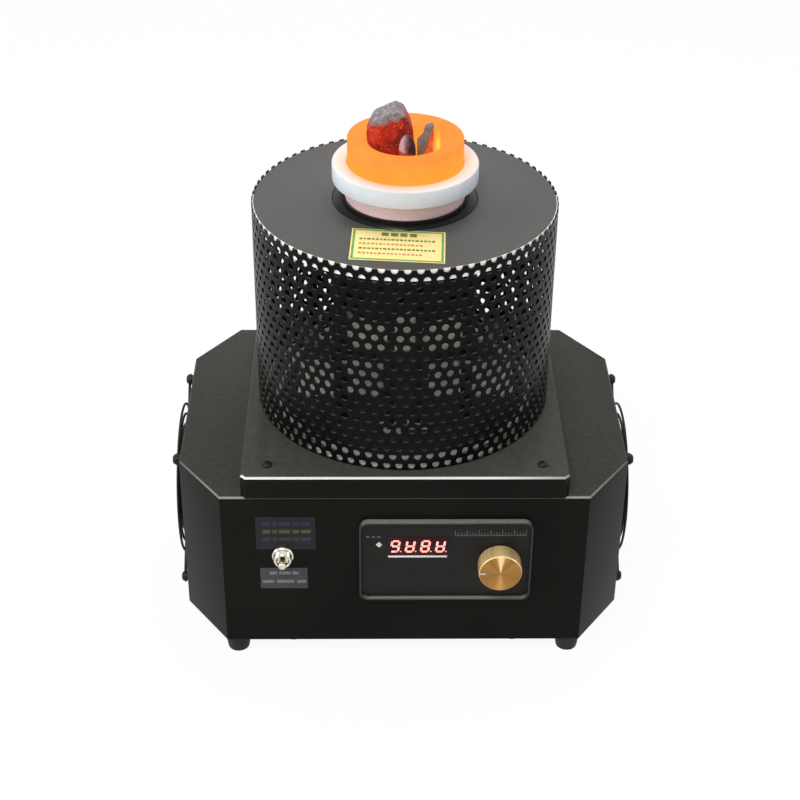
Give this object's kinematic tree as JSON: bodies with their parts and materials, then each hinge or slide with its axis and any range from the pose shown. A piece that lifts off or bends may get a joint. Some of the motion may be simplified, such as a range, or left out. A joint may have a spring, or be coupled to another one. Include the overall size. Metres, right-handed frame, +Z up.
{
  "type": "electric gold melting furnace",
  "caption": "Benchtop electric furnace for melting gold: lift-out graphite crucible in a ceramic cup, perforated guard cage on a tray, fan-cooled steel cabinet, power knob, switches, display.",
  "frame": {"origin": "on the surface it stands on, straight under the middle of the cabinet, which is also the axis of the cage and the crucible", "axes": "+Z up, the front panel faces -Y, +X to the right as seen from the front"},
  "size_m": [0.3244, 0.2438, 0.375],
  "materials": {
    "cabinet_coat": "fine satin black powder coat",
    "tray_coat": "fine satin black powder coat",
    "cage_coat": "semi-gloss black paint",
    "disc_steel": "dull heat-greyed steel",
    "plated_steel": "zinc plated",
    "dark_steel": "black oxide",
    "foot_rubber": "matt black",
    "fan_plastic": "moulded black",
    "collar_enamel": "glossy black enamel",
    "white_ceramic": "fired alumina",
    "insulation_fibre": "soft ceramic fibre",
    "refractory": "porous refractory brick",
    "coil_metal": "heat-darkened copper",
    "graphite": "graphite glowing orange at working heat",
    "hot_lump": "red-hot metal with grey scale",
    "dark_lump": "dark metal just starting to glow",
    "molten_gold": "bright liquid",
    "bezel_plastic": "moulded black",
    "faceplate_film": "satin black film",
    "display_glass": "dark red window",
    "lamp_lens": "small diffuser",
    "circuit_board": "solder mask",
    "gold_anodised": "spun and anodised",
    "bright_chrome": "polished plating",
    "switch_body": "moulded black",
    "brass_pin": "bright",
    "supply_case": "plain sheet",
    "capacitor_case": "epoxy filled",
    "busbar_copper": "bare copper",
    "plain_aluminium": "extruded",
    "choke_core": "coated core",
    "nylon": "natural"
  },
  "bodies": {
    "furnace": {"base_shell": "cabinet_coat", "bottom_plate": "cabinet_coat", "bottom_screws": "plated_steel", "rubber_feet": "foot_rubber", "foot_screws": "plated_steel", "fan_frame_left": "fan_plastic", "fan_frame_right": "fan_plastic", "fan_guard_left": "dark_steel", "fan_guard_right": "dark_steel", "fan_screws": "dark_steel", "tray": "tray_coat", "tray_spacers": "plated_steel", "tray_screws": "dark_steel", "perforated_cage": "cage_coat", "cage_brackets": "plated_steel", "bracket_screws": "plated_steel", "top_disc": "disc_steel", "disc_posts": "dark_steel", "well_collar": "collar_enamel", "support_plate": "dark_steel", "support_nuts": "plated_steel", "refractory_block": "refractory", "insulation_sleeve": "insulation_fibre", "induction_coil": "coil_metal", "lead_bushes": "nylon", "control_bezel": "bezel_plastic", "control_faceplate": "faceplate_film", "display_window": "display_glass", "display_module": "bezel_plastic", "status_lamp": "lamp_lens", "controller_board": "circuit_board", "potentiometer": "plain_aluminium", "pot_nut": "plated_steel", "toggle_body": "bright_chrome", "toggle_nut": "bright_chrome", "power_inlet": "switch_body", "inlet_pins": "brass_pin", "inlet_screws": "dark_steel", "rocker_frame": "switch_body", "power_supply": "supply_case", "board_standoffs": "nylon", "driver_board": "circuit_board", "capacitor_bank": "capacitor_case", "busbars": "busbar_copper", "heat_sinks": "plain_aluminium", "chokes": "choke_core"},
    "left_fan": {"fan_rotor_left": "fan_plastic"},
    "right_fan": {"fan_rotor_right": "fan_plastic"},
    "knob": {"power_knob": "gold_anodised", "pot_shaft": "plated_steel"},
    "toggle": {"toggle_lever": "bright_chrome"},
    "rocker": {"mains_rocker": "switch_body"},
    "cup": {"ceramic_cup": "white_ceramic"},
    "crucible": {"graphite_crucible": "graphite", "melt_pool": "molten_gold", "charge_block": "hot_lump", "charge_cone": "dark_lump", "charge_slab": "hot_lump"}
  },
  "joints": [
    {"name": "left_fan_spin", "type": "hinge", "parent": "furnace", "child": "left_fan", "pos_m": [-0.142, 0, 0.077], "axis": [-1, 0, 0], "continuous": true},
    {"name": "right_fan_spin", "type": "hinge", "parent": "furnace", "child": "right_fan", "pos_m": [0.142, 0, 0.077], "axis": [1, 0, 0], "continuous": true},
    {"name": "knob_turn", "type": "hinge", "parent": "furnace", "child": "knob", "pos_m": [0.0655, -0.113, 0.0855], "axis": [0, 1, 0], "range_deg": [-60, 240]},
    {"name": "toggle_flip", "type": "hinge", "parent": "furnace", "child": "toggle", "pos_m": [-0.0835, -0.1135, 0.09], "axis": [-1, 0, 0], "range_deg": [0, 24]},
    {"name": "rocker_tip", "type": "hinge", "parent": "furnace", "child": "rocker", "pos_m": [0.018, 0.109, 0.045], "axis": [1, 0, 0], "range_deg": [0, 20]},
    {"name": "cup_lift", "type": "slide", "parent": "furnace", "child": "cup", "axis": [0, 0, 1], "range_m": [0, 0.1]},
    {"name": "crucible_lift", "type": "slide", "parent": "cup", "child": "crucible", "axis": [0, 0, 1], "range_m": [0, 0.1]}
  ]
}
